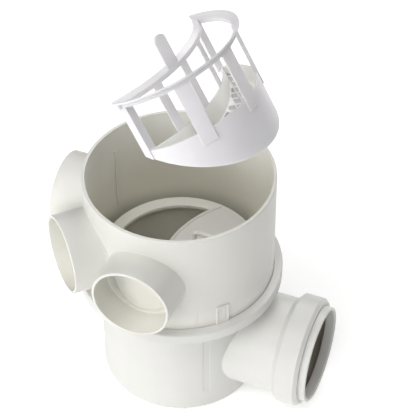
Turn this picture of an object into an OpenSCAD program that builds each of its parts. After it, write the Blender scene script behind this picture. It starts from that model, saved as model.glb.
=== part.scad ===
// Floor gully trap: bowl with a ring-seal outlet, tall riser with three blanked side
// inlets, inner ledge with baffle, access plate, and a lift-out sediment basket.
// The riser axis is Z, the outlet points to +X, and the bowl stands on Z = 0.

/* [View] */
// Sub-part to build, or all of them

/* [Bowl] */
// Outside diameter of the bowl
bowl_d = 194; // [170:1:200]
// Wall of the bowl
bowl_wall = 4; // [3:0.1:5]
// Thickness of the bowl's floor
floor_t = 4; // [3:0.1:8]
// Outside fillet between wall and floor
bowl_fillet = 7; // [3:0.5:12]
// Height of the ledge's top face above the ground
ledge_z = 177; // [172:1:190]
// Height of the inner weir that holds the water back
weir_h = 105; // [60:1:130]
// Distance of the weir from the riser axis
weir_x = 38; // [30:1:50]

/* [Collar] */
// Radial depth of the collar's seal groove
collar_groove = 6.1; // [5:0.1:8]
// Height of the collar's top face above the ground
collar_top = 165; // [162:1:170]
// Height of the collar's side wall below its top face
collar_side = 14.5; // [13:0.5:18]
// Wall of the collar over the seal groove
collar_wall = 4; // [3:0.1:5]
// Height of the floor that the riser stands on
socket_floor_z = 145.5; // [140:0.5:148]

/* [Outlet] */
// Height of the outlet's axis above the ground
outlet_z = 69; // [68.5:0.5:75]
// Distance of the outlet's mouth from the riser axis
outlet_reach = 182; // [170:1:230]
// Outside diameter of the outlet branch
outlet_d = 113; // [110:0.5:116]
// Wall of the outlet branch
outlet_wall = 3.5; // [3:0.1:5]
// Bore of the outlet socket
outlet_bore = 110.4; // [108:0.1:111]
// Radial depth of the outlet's seal groove
outlet_groove = 8.3; // [6:0.1:8.5]
// Wall of the bell over the groove
bell_wall = 4; // [3:0.1:4.5]
// Depth of the outlet socket from its mouth to the pipe stop
outlet_depth = 39; // [36:1:44]

/* [Riser] */
// Outside diameter of the riser
riser_d = 224; // [216:1:226]
// Wall of the riser
riser_wall = 4; // [3:0.1:6]
// Height of the riser's rim above the ground
rim_z = 305; // [295:1:400]

// Width of the locating lug above the collar
lug_w = 16; // [10:1:24]
// Height of the locating lug above the collar
lug_h = 28; // [15:1:40]

/* [Side inlets] */
// Outside diameter of a side inlet
inlet_d = 93.6; // [80:0.2:96]
// Wall of a side inlet
inlet_wall = 3.1; // [2.5:0.1:5]
// Distance of an inlet's mouth from the riser axis
inlet_reach = 146.5; // [140:0.5:190]
// Depth of the inlet axes below the rim
inlet_drop = 73; // [60:1:76]
// Angle between neighbouring inlets
inlet_step = 45; // [45:1:55]
// Number of side inlets
inlet_count = 3; // [1:1:3]

/* [Ledge and access plate] */
// Bore of the ledge that the basket hangs in
ledge_bore = 163; // [150:1:166]
// Thickness of the ledge
ledge_t = 4; // [3:0.5:6]
// Radius of the plate's curved free edge
plate_edge_r = 136; // [120:1:150]
// Distance of the plate's free edge from the riser axis
plate_edge_x = 20.5; // [16:0.5:26]
// Thickness of the access plate
plate_t = 3; // [2.5:0.5:4]
// Width of the plate's grip
grip_w = 35; // [30:1:50]
// Height of the plate's grip
grip_h = 45; // [30:1:60]
// Thickness of the grip's round bar
grip_bar = 5.6; // [4:0.2:8]

/* [Basket] */
// Depth of the basket's open upper part
basket_open_h = 62.4; // [50:0.5:70]
// Depth of the basket's cup at its outer wall
basket_cup_h = 56; // [45:1:62]
// Slope of the basket's floor
basket_slope = 29.6; // [20:0.1:32]
// Wall of the basket
basket_wall = 2; // [1.5:0.1:3]
// Width of the basket's rim on its round side
basket_rim_w = 6.5; // [5:0.5:9]
// Width of the basket's rim on its hollow side
hollow_rim_w = 3.5; // [3:0.5:6]
// Width of the basket's legs
leg_w = 17; // [10:1:20]
// Depth of the flange along one edge of a leg
leg_flange = 3; // [2:0.5:5]
// Width of the two legs at the basket's horns
horn_leg_w = 9; // [8:0.5:14]
// Depth of the flange on the horn legs
horn_flange = 9.5; // [5:0.5:11]
// Thickness of the basket's grid floor
grid_t = 4.7; // [3:0.1:6]
// Pitch of the grid floor
grid_pitch = 9; // [8:0.5:14]
// Height of the basket's grip above its rim
tongue_h = 32; // [20:1:45]
// Place where the lifted-out basket's rim centre is held
basket_at = [12, -69, 530];
// Attitude of the lifted-out basket
basket_turn = [2.3, 30.5, 175.6];

/* [Hidden] */
$fn = 96;
cut = 1;                                  // overrun of a cutting solid
lug_at = -42;                             // place of the lug round the riser
fit_gap = 0.3;                            // clearance between curved faces
slip = 0.4;                               // radial clearance of the riser in its collar
edge_round = 1;                           // rounding of the tubes' end faces

bowl_r = bowl_d/2;
bowl_in_r = bowl_r - bowl_wall;
riser_r = riser_d/2;
riser_in_r = riser_r - riser_wall;
collar_bore_r = riser_r + slip;
groove_r = collar_bore_r + collar_groove;
collar_r = groove_r + collar_wall;
groove_h = 9;
lip_t = 3;
groove_z = collar_top - lip_t - groove_h;
ledge_r = bowl_r - 1;
outlet_r = outlet_d/2;
outlet_bore_r = outlet_bore/2;
bell_groove_r = outlet_bore_r + outlet_groove;
bell_r = bell_groove_r + bell_wall;
bell_w = 23;
bell_x = outlet_reach - 13 - bell_w;      // where the bell's full diameter starts
bell_seal_x = bell_x + 4.5;
bell_seal_w = bell_x + bell_w + 4 - 3.5 - bell_seal_x;
inlet_z = rim_z - inlet_drop;
inlet_r = inlet_d/2;
inlet_bore_r = inlet_r - inlet_wall;
inlet_stop_x = riser_r + 2;               // pipe stop, a flat ledge just clear of the wall
neck_top = ledge_z - ledge_t;
plate_r = ledge_r - 4;
plate_cx = plate_edge_r - plate_edge_x;   // centre of the plate's free edge
plate_seat_z = ledge_z - plate_t;
seal_t = 1;

// Lens between a circle round the riser axis and the plate's free edge, 2-D
module plate_lens(r, inset) {
    intersection() {
        circle(r);
        translate([plate_cx, 0]) circle(plate_edge_r - inset);
    }
}

// Ring-shaped solid round Z, its section drawn as one rectangle
module ring(r1, r2, z1, z2) {
    rotate_extrude() translate([r1, z1]) square([r2 - r1, z2 - z1]);
}

// Part of a ring, centred on an angle
module ring_part(r1, r2, z1, z2, at, width) {
    sweep = 2*asin(width/2/r2);
    rotate([0, 0, at - sweep/2]) rotate_extrude(angle = sweep)
        translate([r1, z1]) square([r2 - r1, z2 - z1]);
}

// Section of a branch's soft root where it leaves a round wall, drawn along its axis
module root_fillet(branch_r, wall_r, f) {
    sunk = 2;                             // depth the arc runs into the wall
    xc = sqrt(pow(wall_r - sunk + f, 2) - pow(branch_r + f, 2));
    touch = (wall_r - sunk)/(wall_r - sunk + f);
    difference() {
        translate([0, xc*touch]) square([(branch_r + f)*touch, xc - xc*touch]);
        translate([branch_r + f, xc]) circle(f);
    }
}

// Half section of a tube's end with its outer edge rounded
module rounded_end(r, h) {
    square([r, h - edge_round]);
    square([r - edge_round, h]);
    translate([r - edge_round, h - edge_round]) circle(edge_round);
}

// Moves a solid built along Z onto the outlet's axis
module on_outlet() {
    translate([0, 0, outlet_z]) rotate([0, 90, 0]) children();
}

// Section of the bowl, its neck and its collar
module bowl_section() {
    web = bowl_wall;
    difference() {
        union() {
            square([bowl_r - bowl_fillet, ledge_z/2]);
            translate([0, bowl_fillet]) square([bowl_r, neck_top - bowl_fillet]);
            translate([bowl_r - bowl_fillet, bowl_fillet]) circle(bowl_fillet);
            polygon([[bowl_r - cut, socket_floor_z - web - 12], [bowl_r, socket_floor_z - web - 12],
                     [bowl_r + 12, socket_floor_z - web], [collar_r - 9, socket_floor_z - web],
                     [collar_r, collar_top - collar_side], [collar_r, collar_top - 2],
                     [collar_r - 2, collar_top], [bowl_r - cut, collar_top]]);
            translate([collar_r - 2, collar_top - 2]) circle(2);
        }
        translate([-cut, floor_t + 4]) square([bowl_in_r + cut, neck_top]);
        translate([-cut, floor_t]) square([bowl_in_r - 4 + cut, 5]);
        translate([bowl_in_r - 4, floor_t + 4]) circle(4);
        translate([bowl_r, socket_floor_z]) square([collar_bore_r - bowl_r, collar_top]);
        translate([collar_bore_r - cut, groove_z]) square([groove_r - collar_bore_r + cut, groove_h]);
    }
}

// Outside of the outlet branch, drawn along its axis
module outlet_outside() {
    rotate_extrude() {
        root_fillet(outlet_r, bowl_r, 30);
        square([outlet_r, bell_x - 9 + cut]);
        polygon([[0, bell_x - 9], [outlet_r, bell_x - 9], [bell_r, bell_x],
                 [bell_r, bell_x + bell_w], [bell_r - 4, bell_x + bell_w + 4],
                 [0, bell_x + bell_w + 4]]);
        rounded_end(outlet_bore_r + 4, outlet_reach);
    }
}

// Bore, socket and seal groove of the outlet branch
module outlet_inside() {
    stop_x = outlet_reach - outlet_depth;
    cylinder(h = outlet_reach, r = outlet_r - outlet_wall);
    translate([0, 0, stop_x]) cylinder(h = outlet_depth + cut, r = outlet_bore_r);
    translate([0, 0, bell_seal_x]) cylinder(h = bell_seal_w, r = bell_groove_r);
    translate([0, 0, outlet_reach - 2])
        cylinder(h = 2 + cut, r1 = outlet_bore_r, r2 = outlet_bore_r + 1.5);
}

module trap_bowl() {
    color([0.93, 0.93, 0.91]) difference() {
        union() {
            rotate_extrude() bowl_section();
            difference() {
                on_outlet() outlet_outside();
                translate([0, 0, floor_t]) cylinder(h = neck_top, r = bowl_in_r);
                translate([0, 0, -20]) cylinder(h = 20, r = outlet_reach + cut);
            }
            // weir across the outlet side of the bowl
            intersection() {
                translate([0, 0, floor_t/2]) cylinder(h = weir_h - floor_t/2, r = bowl_r - 1);
                translate([weir_x, -bowl_r, 0]) cube([bowl_wall, 2*bowl_r, weir_h]);
            }
        }
        difference() {
            on_outlet() outlet_inside();
            translate([-bowl_r, -bowl_r, 0]) cube([bowl_r + weir_x + bowl_wall, 2*bowl_r, ledge_z]);
        }
    }
}

module baffle_insert() {
    lip = 7;                              // seat left round the access opening
    baffle_foot = 36;
    color([0.88, 0.88, 0.85]) difference() {
        union() {
            ring(ledge_bore/2, ledge_r, neck_top, ledge_z);
            translate([0, 0, neck_top]) linear_extrude(ledge_t) plate_lens(ledge_r, 0);
            // locating skirt inside the bowl's neck
            ring(bowl_in_r - fit_gap - 3, bowl_in_r - fit_gap, neck_top - 10, neck_top + cut);
            // baffle that hangs into the water
            intersection() {
                translate([0, 0, baffle_foot]) cylinder(h = neck_top - baffle_foot + cut,
                                                        r = bowl_in_r - fit_gap);
                translate([plate_cx, 0, baffle_foot]) difference() {
                    cylinder(h = ledge_z - baffle_foot - cut, r = plate_edge_r);
                    translate([0, 0, -cut]) cylinder(h = ledge_z, r = plate_edge_r - 3);
                }
            }
        }
        // rebate that the plate lies in, and the opening under it
        translate([0, 0, plate_seat_z]) linear_extrude(ledge_t)
            plate_lens(plate_r + fit_gap, -cut);
        translate([0, 0, neck_top - cut]) linear_extrude(ledge_t + 2*cut)
            plate_lens(plate_r - lip, lip);
    }
}

// Places a copy at each side inlet, built along Z from the riser axis outwards
module at_inlets(count = inlet_count) {
    for (k = [0:count - 1])
        rotate([0, 0, 180 + k*inlet_step]) translate([0, 0, inlet_z]) rotate([0, 90, 0]) children();
}

// Socket of a side inlet with its pipe stop and the tapered recess over the blank wall
module inlet_inside() {
    ledge = 3;
    recess = 16;
    translate([0, 0, inlet_stop_x]) cylinder(h = inlet_reach, r = inlet_bore_r);
    translate([0, 0, inlet_stop_x - recess])
        cylinder(h = recess + cut/2, r1 = inlet_bore_r - ledge - 5, r2 = inlet_bore_r - ledge);
}

module riser() {
    color([0.94, 0.94, 0.92]) difference() {
        union() {
            translate([0, 0, socket_floor_z]) rotate_extrude()
                rounded_end(riser_r, rim_z - socket_floor_z);
            difference() {
                at_inlets() rotate_extrude() {
                    rounded_end(inlet_r, inlet_reach);
                    root_fillet(inlet_r, riser_r, 14);
                }
                difference() {
                    at_inlets() inlet_inside();
                    translate([0, 0, socket_floor_z]) cylinder(h = rim_z, r = riser_r);
                }
            }
            // locating lug above the collar
            difference() {
                ring_part(riser_r - cut, riser_r + 2, collar_top, collar_top + lug_h, lug_at, lug_w);
                ring_part(riser_r + 1.2, riser_r + 3, collar_top - cut, collar_top + lug_h - 2,
                          lug_at, lug_w - 4);
            }
        }
        translate([0, 0, socket_floor_z - cut])
            cylinder(h = rim_z - socket_floor_z + 2*cut, r = riser_in_r);
    }
    // two slim ribs on the inner wall
    color([0.94, 0.94, 0.92]) for (at = [157.5, 30])
        ring_part(riser_in_r - 1.2, riser_in_r + cut, ledge_z + 8, rim_z - 33, at, 2.5);
}

// Upright grip of round bar: two legs, two bends and a crossbar along X
module round_grip(w, h, d, bend) {
    for (side = [-1, 1]) {
        translate([side*(w - d)/2, 0, 0]) cylinder(h = h - d/2 - bend, r = d/2);
        translate([side*((w - d)/2 - bend), 0, h - d/2 - bend]) rotate([90, 0, 0])
            rotate([0, 0, side > 0 ? 0 : 90]) rotate_extrude(angle = 90)
            translate([bend, 0]) circle(d/2);
    }
    translate([-(w - d)/2 + bend, 0, h - d/2]) rotate([0, 90, 0])
        cylinder(h = w - d - 2*bend, r = d/2);
}

module access_plate() {
    grip_x = 33;
    edge_w = 3;
    color([0.86, 0.86, 0.86]) {
        translate([0, 0, plate_seat_z + seal_t]) linear_extrude(plate_t) plate_lens(plate_r, 0.4);
        // raised free edge
        translate([0, 0, plate_seat_z + seal_t + plate_t/2]) linear_extrude(plate_t/2 + 1.2)
            difference() {
                plate_lens(plate_r, 0.4);
                translate([plate_cx, 0]) circle(plate_edge_r - 0.4 - edge_w);
            }
        // skirt that centres the plate in its opening
        translate([0, 0, plate_seat_z - 3]) linear_extrude(3 + seal_t + cut) difference() {
            plate_lens(plate_r - 7 - fit_gap, 7 + fit_gap);
            plate_lens(plate_r - 10, 10);
        }
        translate([grip_x, 0, plate_seat_z + seal_t + cut])
            round_grip(grip_w, grip_h, grip_bar, 4);
    }
}

module plate_seal() {
    color([0.16, 0.16, 0.17]) translate([0, 0, plate_seat_z]) linear_extrude(seal_t) difference() {
        plate_lens(plate_r - 0.5, 1);
        plate_lens(plate_r - 6.5, 6.5);
    }
}

// Section of a lip seal in its groove: body at the groove's bottom, lip towards the bore
module lip_section(r_lip, r_groove, z, w) {
    r_body = (r_lip + r_groove)/2;
    polygon([[r_groove - fit_gap, z], [r_groove - fit_gap, z + w], [r_body, z + w],
             [r_body, z + w*0.8], [r_lip, z + w*0.35], [r_lip, z + w*0.2],
             [r_body, z + w*0.35], [r_body, z]]);
}

module riser_seal() {
    color([0.36, 0.35, 0.32]) rotate_extrude()
        lip_section(collar_bore_r, groove_r, groove_z, groove_h);
}

module outlet_seal() {
    color([0.36, 0.35, 0.32]) on_outlet() rotate_extrude()
        lip_section(outlet_bore_r + 0.1, bell_groove_r, bell_seal_x, bell_seal_w);
}

leg_r = ledge_bore/2 - 0.7;               // outside of the legs, which pass the ledge
cup_r = leg_r - 1.3;
bite_r = 115;                             // radius of the basket's inner, hollow side
bite_x = bite_r - 27;
leg_angles = [135, 179.5, 224];
strap_w = 10;
strap_y = [45, 6, -34];
tongue_y = 19;
tongue_w = 16;

// Crescent of the basket's plan, 2-D
module crescent(r, bite) {
    difference() {
        circle(r);
        translate([bite_x, 0]) circle(bite);
    }
}

// Half-space over the sloping floor, raised by t
module above_floor(t) {
    lowest = basket_open_h + basket_cup_h;
    translate([-cup_r, 0, t - lowest]) rotate([0, -basket_slope, 0])
        translate([-60, -150, 0]) cube([320, 300, 300]);
}

// Rim strip with its flare, drawn for the section of a revolve
module rim_strip(r, side, w) {
    polygon([[r - side*1.7, -9], [r - side*1.7, -4.2], [r + side*w, 0],
             [r + side*w, -2], [r + side*0.3, -5.6], [r + side*0.3, -9]]);
}

// Leg of angle section: a face on the cup and a flange inwards along one edge
module leg(at, w, flange, side) {
    edge = at + side*(w/2 - 1)/leg_r*57.3;
    ring_part(cup_r - 0.5, leg_r, -basket_open_h - 14, -5, at, w);
    ring_part(cup_r - flange, leg_r - 0.6, -basket_open_h - 1, -6, edge, 2);
}

function in_crescent(x, y, r, bite) =
    x*x + y*y < r*r && (x - bite_x)*(x - bite_x) + y*y > bite*bite;

module basket_body() {
    bar = 2;
    cell = grid_pitch - bar;
    cup_top = -basket_open_h;
    // cup: outer wall, hollow side and sloping grid floor
    difference() {
        intersection() {
            translate([0, 0, -150]) linear_extrude(150 + cup_top) crescent(cup_r, bite_r);
            above_floor(0);
        }
        intersection() {
            translate([0, 0, -150]) linear_extrude(150) crescent(cup_r - basket_wall, bite_r + basket_wall);
            above_floor(grid_t/cos(basket_slope));
        }
        intersection() {
            translate([0, 0, -150]) linear_extrude(150 + cup_top - 5)
                crescent(cup_r - basket_wall - 1, bite_r + basket_wall + 1);
            for (i = [-12:12], j = [-12:12]) {
                x = (i + j)*grid_pitch*0.7071 - 56;
                y = (i - j)*grid_pitch*0.7071;
                if (in_crescent(x, y, cup_r - 2, bite_r + 2))
                    translate([x, y, -150]) rotate([0, 0, 45]) translate([-cell/2, -cell/2, 0])
                        cube([cell, cell, 150 + cup_top - 5]);
            }
        }
    }
    // legs of angle section round the outside
    intersection() {
        union() {
            for (a = leg_angles) leg(a, leg_w, leg_flange, a > 200 ? -1 : 1);
            leg(86, horn_leg_w, horn_flange, 1);
            leg(274, horn_leg_w, horn_flange, -1);
        }
        above_floor(0);
    }
    // straps on the hollow side
    translate([bite_x, 0, 0]) for (y = strap_y)
        ring_part(bite_r + 0.2, bite_r + basket_wall - 0.2, cup_top - 2, -5,
                  180 - asin(y/bite_r), strap_w);
    // flared rim
    difference() {
        rotate_extrude() rim_strip(leg_r, 1, basket_rim_w);
        translate([bite_x, 0, -20]) cylinder(h = 40, r = bite_r - hollow_rim_w + 0.5);
    }
    intersection() {
        translate([bite_x, 0, 0]) rotate_extrude() rim_strip(bite_r, -1, hollow_rim_w);
        translate([0, 0, -20]) cylinder(h = 40, r = leg_r + 2.5);
    }
    // tongue-shaped grip
    translate([bite_x, 0, 0]) intersection() {
        ring_part(bite_r - 0.9, bite_r + 1.3, -7, tongue_h, 180 - asin(tongue_y/bite_r), tongue_w);
        translate([-bite_r, tongue_y, 0]) rotate([0, 90, 0]) translate([0, 0, -20]) union() {
            translate([-(tongue_h - tongue_w/2), 0, 0]) cylinder(h = 60, r = tongue_w/2 + 0.2);
            translate([-(tongue_h - tongue_w/2), -tongue_w/2 - 1, 0])
                cube([tongue_h + 10, tongue_w + 2, 60]);
        }
    }
}

module basket() {
    color([0.90, 0.90, 0.93]) translate(basket_at) rotate(basket_turn) basket_body();
}

trap_bowl();
baffle_insert();
riser();
access_plate();
plate_seal();
basket();
riser_seal();
outlet_seal();
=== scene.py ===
import math

import bmesh
import bpy
from mathutils import Euler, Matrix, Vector

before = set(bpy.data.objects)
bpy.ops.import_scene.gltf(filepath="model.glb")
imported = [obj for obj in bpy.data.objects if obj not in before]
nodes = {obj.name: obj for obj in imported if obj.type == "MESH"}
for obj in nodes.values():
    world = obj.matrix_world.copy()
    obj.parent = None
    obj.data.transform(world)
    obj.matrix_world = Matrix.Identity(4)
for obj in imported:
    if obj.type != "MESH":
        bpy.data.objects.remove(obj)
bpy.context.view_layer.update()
scene = bpy.context.scene

# Sizes that the colour masks follow, as the CAD holds them, in metres and degrees.
RISER_R, BOWL_R, COLLAR_TOP = 0.112, 0.097, 0.165
INLET_AZ, INLET_R, INLET_Z = (180, 225, 270), 0.0440, 0.232
# The lifted-out basket: its place and turn, cup, hollow side, cup's edge and grid.
BASKET_AT, BASKET_TURN = Vector((0.012, -0.069, 0.530)), (2.3, 30.5, 175.6)
CUP_R, CUP_DEPTH, CUP_SLOPE = 0.0795, 0.1184, 29.6
HOLLOW_X, HOLLOW_R = 0.088, 0.115
CUP_TOP, GRID_T = -0.0624, 0.0047

# Radii that lie inside a wall, so that a mask takes one face of it and not the other.
BORE_MASK_R, WELL_MASK_R, FOOT_MASK_R = 0.1085, 0.0945, 0.1095
SKIN = 0.0015           # depth under a face that still counts as that face
INLET_SKIN = 0.002      # the same, where the inlets leave the riser
RADIAL_FADE = 0.0004    # width over which a mask round an axis ends
LINE_END = 0.003        # length over which a mould line runs out
GRID_SKIN = 0.0003      # the same as SKIN, at the grid's top face
EDGE_SKIN = 0.0001      # the same, at the cup's edge

# Tints, which the plastic's colour is multiplied by. All are painted light or painted shade:
# lighter, warmer insides, a lighter foot, lighter cup walls and grid tops, darker grid holes.
# Painted light: the riser's bore lighter and warmer, most towards its open top.
BORE_PAINTED_LIGHT_LOW, BORE_PAINTED_LIGHT_HIGH, BORE_Z = (1.04, 1.025, 0.945), (1.12, 1.12, 1.10), (0.20, 0.30)
# Painted light: the inlets' sockets a little lighter and warmer inside.
SOCKET_PAINTED_LIGHT = (1.05, 1.045, 1.02)
# Painted bounce light: the riser's outside lighter just above the collar.
FOOT_PAINTED_BOUNCE, FOOT_FROM, FOOT_TO = (1.10, 1.09, 1.08), 0.030, 0.004
# Painted light: the bowl's well lighter and warmer.
WELL_PAINTED_LIGHT = (1.11, 1.09, 1.0)
# Painted light on the cup's inner walls and the grid's tops, painted shade in the grid's holes.
CUP_WALL_PAINTED_LIGHT, GRID_TOP_PAINTED_LIGHT, GRID_HOLE_PAINTED_SHADE = (1.14, 1.16, 1.08), (1.25, 1.26, 1.22), (0.84, 0.85, 0.84)

# Upright mould lines: azimuth, width, z0, z1, wall radius and height, negative for a groove.
RISER_LINES = [(-57.3, 0.0012, COLLAR_TOP, 0.190, RISER_R, -0.0003),
               (-59.0, 0.0010, COLLAR_TOP, 0.184, RISER_R, 0.0002)]
RISER_LINES += [(az, 0.0011, COLLAR_TOP + 0.002, 0.189, RISER_R + 0.001, 0.0004)
                for az in (-44.9, -43.3, -40.6)]
BOWL_LINES = [(-49.5, 0.0110, 0.030, 0.124, BOWL_R, -0.0005)]

# Moulded plastic: how far its cloudy tone darkens, height of its grain, rounding of its edges.
MOTTLE, GRAIN, EDGE = 0.05, 0.0002, 0.0008
MIX_A, MIX_B, MIX_RESULT = 6, 7, 2      # the colour sockets of a Mix node


# ---------------------------------------------------------------- nodes
def feed(nt, socket, value):
    """Link a socket to a node's output, or give it a number or an RGB colour."""
    if isinstance(value, bpy.types.NodeSocket):
        nt.links.new(value, socket)
    elif isinstance(value, tuple):
        socket.default_value = (*value, 1)
    elif value is not None:
        socket.default_value = value


def make_material(name):
    m = bpy.data.materials.new(name)
    m.use_nodes = True
    nt = m.node_tree
    nt.nodes.clear()
    out = nt.nodes.new("ShaderNodeOutputMaterial")
    bsdf = nt.nodes.new("ShaderNodeBsdfPrincipled")
    nt.links.new(bsdf.outputs[0], out.inputs[0])
    return m, nt, bsdf


def object_coord(nt):
    return nt.nodes.new("ShaderNodeTexCoord").outputs["Object"]


def noise(nt, coord, scale, detail, rough=0.5, stretch=None):
    n = nt.nodes.new("ShaderNodeTexNoise")
    n.inputs["Scale"].default_value = scale
    n.inputs["Detail"].default_value = detail
    n.inputs["Roughness"].default_value = rough
    if stretch:
        mapping = nt.nodes.new("ShaderNodeMapping")
        mapping.inputs["Scale"].default_value = stretch
        nt.links.new(coord, mapping.inputs["Vector"])
        coord = mapping.outputs[0]
    nt.links.new(coord, n.inputs["Vector"])
    return n.outputs[0]


def ramp(nt, fac, lo, hi, c0, c1):
    n = nt.nodes.new("ShaderNodeValToRGB")
    for stop, position, colour in zip(n.color_ramp.elements, (lo, hi), (c0, c1)):
        stop.position = position
        stop.color = (*colour, 1)
    nt.links.new(fac, n.inputs[0])
    return n.outputs[0]


def calc(nt, op, a, b=None):
    n = nt.nodes.new("ShaderNodeMath")
    n.operation = op
    feed(nt, n.inputs[0], a)
    feed(nt, n.inputs[1], b)
    return n.outputs[0]


def both(nt, a, b):
    """Where both masks are 1."""
    return calc(nt, "MULTIPLY", a, b)


def mix_colours(nt, factor, a, b, blend="MIX"):
    n = nt.nodes.new("ShaderNodeMix")
    n.data_type = "RGBA"
    n.blend_type = blend
    for index, value in ((0, factor), (MIX_A, a), (MIX_B, b)):
        feed(nt, n.inputs[index], value)
    return n.outputs[MIX_RESULT]


def bump(nt, height, distance, strength=1.0, normal=None):
    """Raised by distance where height is 1, or sunk where distance is negative."""
    n = nt.nodes.new("ShaderNodeBump")
    n.inputs["Strength"].default_value = strength
    n.inputs["Distance"].default_value = abs(distance)
    n.invert = distance < 0
    nt.links.new(height, n.inputs["Height"])
    if normal:
        nt.links.new(normal, n.inputs["Normal"])
    return n.outputs[0]


def vector_math(nt, op, a, b=None):
    n = nt.nodes.new("ShaderNodeVectorMath")
    n.operation = op
    nt.links.new(a, n.inputs[0])
    if b is not None:
        n.inputs[1].default_value = b
    return n


def height_of(nt, coord):
    n = nt.nodes.new("ShaderNodeSeparateXYZ")
    nt.links.new(coord, n.inputs[0])
    return n.outputs["Z"]


def along(nt, coord, axis):
    """How far a place lies from the origin along an axis."""
    return vector_math(nt, "DOT_PRODUCT", coord, axis).outputs["Value"]


def fade(nt, value, v0, v1):
    """0 at v0 and 1 at v1, smooth between them."""
    n = nt.nodes.new("ShaderNodeMapRange")
    n.interpolation_type = "SMOOTHSTEP"
    n.inputs["From Min"].default_value = v0
    n.inputs["From Max"].default_value = v1
    nt.links.new(value, n.inputs["Value"])
    return n.outputs[0]


# ---------------------------------------------------------------- masks and tints
def wall_line(nt, coord, az, width, z0, z1, radius):
    """Mask of a narrow upright strip on a turned wall, at an azimuth in degrees."""
    a = math.radians(az)
    across = along(nt, coord, (-math.sin(a), math.cos(a), 0))
    out = along(nt, coord, (math.cos(a), math.sin(a), 0))
    z = height_of(nt, coord)
    mask = fade(nt, calc(nt, "ABSOLUTE", across), width / 2, width / 4)
    mask = both(nt, mask, calc(nt, "GREATER_THAN", out, radius - SKIN))
    mask = both(nt, mask, fade(nt, z, z0, z0 + LINE_END))
    return both(nt, mask, fade(nt, z, z1, z1 - LINE_END))


def near_axis(nt, coord, radius, axis=(0, 0, 1), origin=(0, 0, 0)):
    """Mask of what lies nearer an axis than radius."""
    arm = vector_math(nt, "SUBTRACT", coord, origin).outputs[0]
    cross = vector_math(nt, "CROSS_PRODUCT", arm, axis).outputs[0]
    away = vector_math(nt, "LENGTH", cross).outputs["Value"]
    return fade(nt, away, radius + RADIAL_FADE, radius)


def tinted(nt, coord, colour, mask, tint, tint1=None, z0=None, z1=None):
    """A colour times a tint where mask is 1; the tint may turn to tint1 from z0 up to z1."""
    if tint1:
        tint = mix_colours(nt, fade(nt, height_of(nt, coord), z0, z1), tint, tint1)
    return mix_colours(nt, mask, colour, tint, "MULTIPLY")


def basket_tints(nt, coord):
    """Inside of the basket's cup: painted light on the walls and on the grid bars' tops, painted
    shade on the walls of the holes.
    """
    turn = Euler([math.radians(a) for a in BASKET_TURN]).to_matrix()
    u, v, w = (turn @ Vector(a) for a in ((1, 0, 0), (0, 1, 0), (0, 0, 1)))
    s, c = math.sin(math.radians(CUP_SLOPE)), math.cos(math.radians(CUP_SLOPE))

    def placed(axis, shift):
        return calc(nt, "ADD", along(nt, coord, axis), shift - axis.dot(BASKET_AT))

    def away(x, y):
        return calc(nt, "SQRT", calc(nt, "ADD", calc(nt, "MULTIPLY", x, x),
                                     calc(nt, "MULTIPLY", y, y)))

    over_floor = placed(w * c - u * s, CUP_DEPTH * c - CUP_R * s)
    y = placed(v, 0)
    inside = both(nt, calc(nt, "LESS_THAN", away(placed(u, 0), y), CUP_R - SKIN),
                  calc(nt, "GREATER_THAN", away(placed(u, -HOLLOW_X), y), HOLLOW_R + SKIN))
    wall = both(nt, calc(nt, "GREATER_THAN", over_floor, GRID_T + GRID_SKIN),
                calc(nt, "LESS_THAN", placed(w, 0), CUP_TOP + EDGE_SKIN))
    top = both(nt, calc(nt, "GREATER_THAN", over_floor, GRID_T - GRID_SKIN),
               calc(nt, "LESS_THAN", over_floor, GRID_T + GRID_SKIN))
    hole = calc(nt, "LESS_THAN", over_floor, GRID_T - GRID_SKIN)
    # Painted light on walls and grid tops, painted shade in the holes.
    for part, tint in ((wall, CUP_WALL_PAINTED_LIGHT), (top, GRID_TOP_PAINTED_LIGHT), (hole, GRID_HOLE_PAINTED_SHADE)):
        yield both(nt, part, inside), tint


def riser_tints(nt, coord):
    """Painted light: the bore lighter and warmer, most towards its open top, and the inlets'
    sockets a little; painted bounce light on the outside of the foot.
    """
    yield near_axis(nt, coord, BORE_MASK_R), BORE_PAINTED_LIGHT_LOW, BORE_PAINTED_LIGHT_HIGH, *BORE_Z
    for az in INLET_AZ:
        a = math.radians(az)
        axis = (math.cos(a), math.sin(a), 0)
        outward = calc(nt, "GREATER_THAN", along(nt, coord, axis), RISER_R - INLET_SKIN)
        # Painted light inside each inlet's socket.
        yield both(nt, near_axis(nt, coord, INLET_R, axis, (0, 0, INLET_Z)), outward), SOCKET_PAINTED_LIGHT
    # Painted bounce light on the riser's outside, strongest just above the collar.
    foot = fade(nt, height_of(nt, coord), COLLAR_TOP + FOOT_FROM, COLLAR_TOP + FOOT_TO)
    outside = calc(nt, "SUBTRACT", 1, near_axis(nt, coord, FOOT_MASK_R))
    yield both(nt, foot, outside), FOOT_PAINTED_BOUNCE


def bowl_tints(nt, coord):
    """Painted light: the well lighter and warmer."""
    yield near_axis(nt, coord, WELL_MASK_R), WELL_PAINTED_LIGHT


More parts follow.
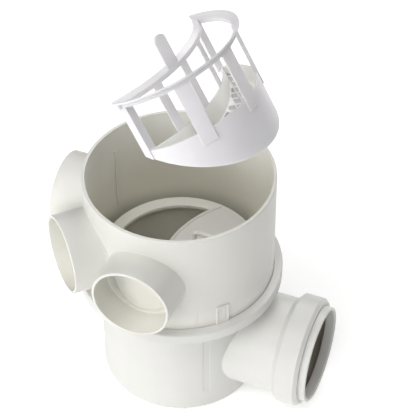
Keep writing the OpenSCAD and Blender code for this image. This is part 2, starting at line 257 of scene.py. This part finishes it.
# ---------------------------------------------------------------- materials
def moulded_plastic(name, base, cloud_tint, rough=0.42, depth=0.0, lines=(), tints=None):
    """Satin injection-moulded plastic: cloudy tone, faint flow streaks along Z, fine skin.

    depth: how much light soaks through thin walls.
    lines: mould lines, listed as in RISER_LINES.
    tints: function of the node tree and coordinates that lists masks, each with its tint."""
    m, nt, bsdf = make_material(name)
    coord = object_coord(nt)
    cloud = ramp(nt, noise(nt, coord, scale=14, detail=4, rough=0.55), 0.32, 0.68,
                 tuple(c * (1 - MOTTLE) * t for c, t in zip(base, cloud_tint)), base)
    streak = ramp(nt, noise(nt, coord, scale=9, detail=3, rough=0.6, stretch=(6, 6, 0.35)),
                  0.35, 0.7, tuple(c * (1 - MOTTLE * 0.6) for c in base), base)
    colour = mix_colours(nt, 0.45, cloud, streak)
    for mask, *tint in (tints(nt, coord) if tints else ()):
        colour = tinted(nt, coord, colour, mask, *tint)
    nt.links.new(colour, bsdf.inputs["Base Color"])

    gloss = nt.nodes.new("ShaderNodeMapRange")
    gloss.inputs["To Min"].default_value = rough - 0.05
    gloss.inputs["To Max"].default_value = rough + 0.07
    nt.links.new(noise(nt, coord, scale=35, detail=2), gloss.inputs["Value"])
    nt.links.new(gloss.outputs[0], bsdf.inputs["Roughness"])

    bevel = nt.nodes.new("ShaderNodeBevel")
    bevel.samples = 4
    bevel.inputs["Radius"].default_value = EDGE
    normal = bevel.outputs[0]
    for *where, height in lines:
        normal = bump(nt, wall_line(nt, coord, *where), height, normal=normal)
    normal = bump(nt, noise(nt, coord, scale=60, detail=2), GRAIN * 2, 0.35, normal)
    normal = bump(nt, noise(nt, coord, scale=900, detail=2), GRAIN, 0.3, normal)
    nt.links.new(normal, bsdf.inputs["Normal"])

    bsdf.inputs["Specular IOR Level"].default_value = 0.45
    bsdf.inputs["Subsurface Weight"].default_value = depth
    bsdf.inputs["Subsurface Radius"].default_value = (1.0, 0.95, 0.85)
    bsdf.inputs["Subsurface Scale"].default_value = 0.006
    return m


def seal_rubber(name, base):
    m, nt, bsdf = make_material(name)
    coord = object_coord(nt)
    colour = ramp(nt, noise(nt, coord, scale=40, detail=4), 0.3, 0.7,
                  tuple(c * 0.8 for c in base), base)
    nt.links.new(colour, bsdf.inputs["Base Color"])
    skin = bump(nt, noise(nt, coord, scale=700, detail=2), 0.0002, 0.4)
    nt.links.new(skin, bsdf.inputs["Normal"])
    bsdf.inputs["Roughness"].default_value = 0.62
    return m


MATERIALS = {
    "trap_bowl": moulded_plastic("bowl_plastic", (0.665, 0.66, 0.635), (0.99, 1.0, 0.98),
                                 lines=BOWL_LINES, tints=bowl_tints),
    "riser": moulded_plastic("riser_plastic", (0.68, 0.67, 0.635), (0.99, 1.0, 0.98),
                             lines=RISER_LINES, tints=riser_tints),
    "baffle_insert": moulded_plastic("insert_plastic", (0.84, 0.825, 0.775), (1.0, 1.0, 0.97)),
    "access_plate": moulded_plastic("plate_plastic", (0.78, 0.77, 0.745), (1.0, 1.0, 1.0)),
    "basket": moulded_plastic("basket_plastic", (0.715, 0.705, 0.725), (1.0, 0.99, 0.99),
                              rough=0.38, depth=0.45, tints=basket_tints),
    "plate_seal": seal_rubber("plate_seal_rubber", (0.05, 0.05, 0.05)),
    "riser_seal": seal_rubber("riser_seal_rubber", (0.26, 0.24, 0.19)),
    "outlet_seal": seal_rubber("outlet_seal_rubber", (0.30, 0.27, 0.21)),
}
for node, material in MATERIALS.items():
    nodes[node].data.materials.clear()
    nodes[node].data.materials.append(material)


# ---------------------------------------------------------------- stage, light, camera
WHITE, BLACK = (1, 1, 1, 1), (0, 0, 0, 1)
FLOOR_R, FLOOR_GLOW, FLOOR_RIM_GLOW = 1.5, 0.31, 0.95
DOME_R = 12
LAMP_AIM, LAMP_DISTANCE, LAMP_SIZE = Vector((0.03, 0, 0.25)), 2.4, 1.3
# Big soft lamps round the object: name, azimuth and elevation in degrees, watts.
LAMPS = (("front low", 0, 12, 17.7), ("left low", -30, 12, 18.2), ("left", -60, 35, 12.3),
         ("front high", 0, 60, 21.2), ("left high", -60, 60, 5.8), ("right high", 90, 60, 5.8),
         ("back right", 120, 35, 10.8), ("back", 180, 35, 27.5))
EYE, TARGET = Vector((0.5425, -1.2684, 1.5760)), Vector((0.0328, 0.0130, 0.2474))


def stage_piece(name, material, make, hidden_from=(), **shape):
    """A thing of the surroundings, from a bmesh operator, hidden from the rays named."""
    mesh = bpy.data.meshes.new(name)
    bm = bmesh.new()
    make(bm, **shape)
    bm.to_mesh(mesh)
    bm.free()
    mesh.materials.append(material)
    o = bpy.data.objects.new(name, mesh)
    scene.collection.objects.link(o)
    for ray in hidden_from:
        setattr(o, "visible_" + ray, False)


def floor_disc():
    """Round pale floor whose own light grows outwards, where the lamps fall off."""
    m, nt, bsdf = make_material("floor_white")
    bsdf.inputs["Base Color"].default_value = (0.9, 0.9, 0.9, 1)
    bsdf.inputs["Roughness"].default_value = 0.9
    bsdf.inputs["Specular IOR Level"].default_value = 0.1
    bsdf.inputs["Emission Color"].default_value = WHITE
    away = vector_math(nt, "LENGTH", object_coord(nt)).outputs["Value"]
    grow = calc(nt, "MULTIPLY", fade(nt, away, FLOOR_R * 0.4, FLOOR_R), FLOOR_RIM_GLOW - FLOOR_GLOW)
    nt.links.new(calc(nt, "ADD", grow, FLOOR_GLOW), bsdf.inputs["Emission Strength"])
    stage_piece("floor", m, bmesh.ops.create_circle, cap_ends=True, radius=FLOOR_R, segments=128)


def dome():
    """White surround beyond the floor, which only the camera sees: it lights nothing."""
    m, nt, bsdf = make_material("surround_white")
    bsdf.inputs["Base Color"].default_value = BLACK
    bsdf.inputs["Emission Color"].default_value = WHITE
    bsdf.inputs["Emission Strength"].default_value = 1.0
    stage_piece("dome", m, bmesh.ops.create_icosphere, subdivisions=4, radius=DOME_R,
                hidden_from=("diffuse", "glossy", "transmission", "shadow", "volume_scatter"))


def area(name, az, el, power):
    data = bpy.data.lights.new(name, "AREA")
    data.shape = "DISK"
    data.size = LAMP_SIZE
    data.energy = power
    o = bpy.data.objects.new(name, data)
    scene.collection.objects.link(o)
    a, e = math.radians(az), math.radians(el)
    d = Vector((math.sin(a) * math.cos(e), -math.cos(a) * math.cos(e), math.sin(e)))
    o.location = LAMP_AIM + d * LAMP_DISTANCE
    o.rotation_euler = d.to_track_quat("Z", "Y").to_euler()


floor_disc()
dome()
world = bpy.data.worlds.new("studio")
scene.world = world
world.use_nodes = True
background = world.node_tree.nodes["Background"]
background.inputs["Color"].default_value = WHITE
background.inputs["Strength"].default_value = 0.0
for lamp in LAMPS:
    area(*lamp)

cam_data = bpy.data.cameras.new("camera")
cam_data.sensor_width = 36
cam_data.lens = 141.0
cam_data.clip_start, cam_data.clip_end = 0.05, 50
cam = bpy.data.objects.new("camera", cam_data)
scene.collection.objects.link(cam)
cam.location = EYE
cam.rotation_mode = "QUATERNION"
cam.rotation_quaternion = (EYE - TARGET).normalized().to_track_quat("Z", "Y")
scene.camera = cam

scene.view_settings.view_transform = "Standard"
scene.view_settings.look = "None"
